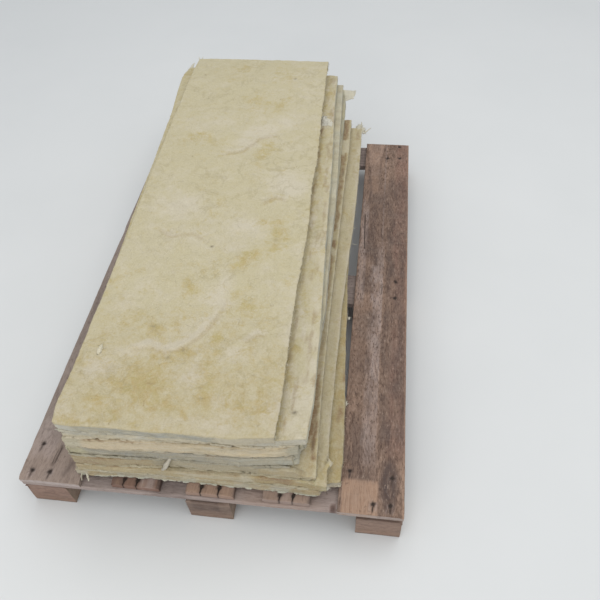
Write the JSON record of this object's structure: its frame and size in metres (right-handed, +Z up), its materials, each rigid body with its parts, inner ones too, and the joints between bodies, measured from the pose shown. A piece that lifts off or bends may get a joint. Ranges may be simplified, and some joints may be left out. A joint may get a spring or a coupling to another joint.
{
  "type": "loaded pallet of insulation slabs",
  "caption": "Loose uneven stack of pale yellow glass-wool insulation slabs lying lengthwise on a light softwood block pallet, its far end overhanging.",
  "frame": {"origin": "centre of the underside of the pallet's centre block, on the floor", "axes": "+Z up, +Y along the slabs towards the overhanging far end, +X to the right"},
  "size_m": [0.8, 1.353, 0.31],
  "materials": {
    "glass_wool": "matt, felted glass fibre, pale yellow with ochre stains",
    "timber": "rough sawn softwood",
    "weathered_timber": "rough sawn softwood, weathered grey-brown",
    "nail_steel": "dull, lightly rusted"
  },
  "bodies": {
    "root": {"insulation_slab_1": "glass_wool", "insulation_slab_2": "glass_wool", "insulation_slab_3": "glass_wool", "insulation_slab_4": "glass_wool", "insulation_slab_5": "glass_wool", "insulation_slab_6": "glass_wool", "insulation_slab_7": "glass_wool", "deck_board_left": "timber", "deck_board_2": "timber", "deck_board_3": "timber", "deck_board_4": "timber", "deck_board_right": "weathered_timber", "cross_board_near": "timber", "cross_board_middle": "timber", "cross_board_far": "timber", "block_near_left": "timber", "block_near_centre": "timber", "block_near_right": "timber", "block_middle_left": "timber", "block_middle_centre": "timber", "block_middle_right": "timber", "block_far_left": "timber", "block_far_centre": "timber", "block_far_right": "timber", "deck_nails": "nail_steel"}
  },
  "joints": []
}
